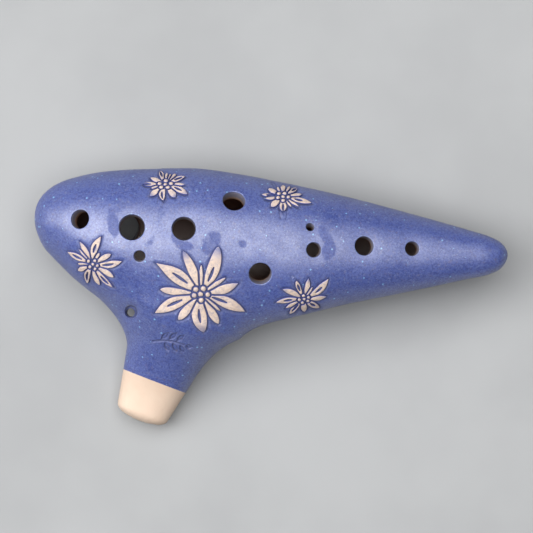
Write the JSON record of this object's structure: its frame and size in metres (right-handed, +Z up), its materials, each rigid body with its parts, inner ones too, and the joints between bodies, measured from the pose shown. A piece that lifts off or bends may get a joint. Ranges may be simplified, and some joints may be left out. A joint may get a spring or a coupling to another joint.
{
  "type": "transverse ocarina",
  "caption": "Hollow clay wind instrument with a tapering body, finger holes on top, a side mouthpiece and raised edelweiss flowers.",
  "frame": {"origin": "centre of the bounding box in X and Y, at the underside, where the back of the body meets the table", "axes": "+X along the body towards the narrow tail, +Y across the body away from the mouthpiece, +Z up through the finger holes; the ocarina lies on its back"},
  "size_m": [0.175, 0.0954, 0.0468],
  "materials": {
    "blue_slip": "satin",
    "blue_slip_back": "satin",
    "blue_slip_neck": "satin",
    "bare_clay": "matte",
    "petal_clay": "matte",
    "windway_clay": "matte",
    "inner_clay": "matte"
  },
  "bodies": {
    "root": {"front_shell": "blue_slip", "back_shell": "blue_slip_back", "neck": "blue_slip_neck", "mouthpiece": "bare_clay", "windway_floor": "windway_clay", "windway_roof": "windway_clay", "labium": "windway_clay", "seam_coil_far": "inner_clay", "seam_coil_near": "inner_clay", "edelweiss_large": "petal_clay", "edelweiss_left": "petal_clay", "edelweiss_top_left": "petal_clay", "edelweiss_top_right": "petal_clay", "edelweiss_bottom": "petal_clay"}
  },
  "joints": []
}
